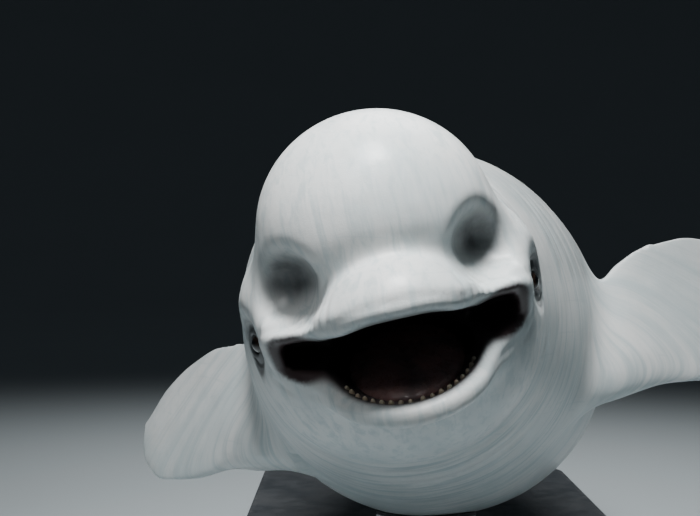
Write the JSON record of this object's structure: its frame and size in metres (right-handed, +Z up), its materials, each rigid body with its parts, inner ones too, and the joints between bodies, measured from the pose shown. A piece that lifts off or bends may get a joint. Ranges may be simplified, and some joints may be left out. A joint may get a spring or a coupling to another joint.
{
  "type": "beluga whale model",
  "caption": "Life-size beluga whale swimming with its mouth open, banked in a gentle turn, as a still museum model held on a flat display base by short rods",
  "frame": {"origin": "middle of the display base's underside, on the floor", "axes": "+Z up; the whale faces -Y, its tail towards +Y, its left side towards +X"},
  "size_m": [1.4251, 4.0772, 1.0046],
  "materials": {
    "skin": "smooth satin white skin, faintly mottled, with fine creases",
    "mouth": "moist, dull pink",
    "eye": "wet and glossy, nearly black",
    "stand_base": "board with a satin charcoal paint",
    "stand_steel": "brushed"
  },
  "bodies": {
    "root": {"head": "skin", "lower_jaw": "skin", "tongue": "mouth", "eye_left": "eye", "eye_right": "eye", "neck": "skin", "chest": "skin", "belly": "skin", "loin": "skin", "tail_stock": "skin", "flipper_left": "skin", "flipper_right": "skin", "fluke_left": "skin", "fluke_right": "skin", "stand_base": "stand_base", "stand_rod_front": "stand_steel", "stand_collar_front": "stand_steel", "stand_rod_rear": "stand_steel", "stand_collar_rear": "stand_steel"}
  },
  "joints": []
}
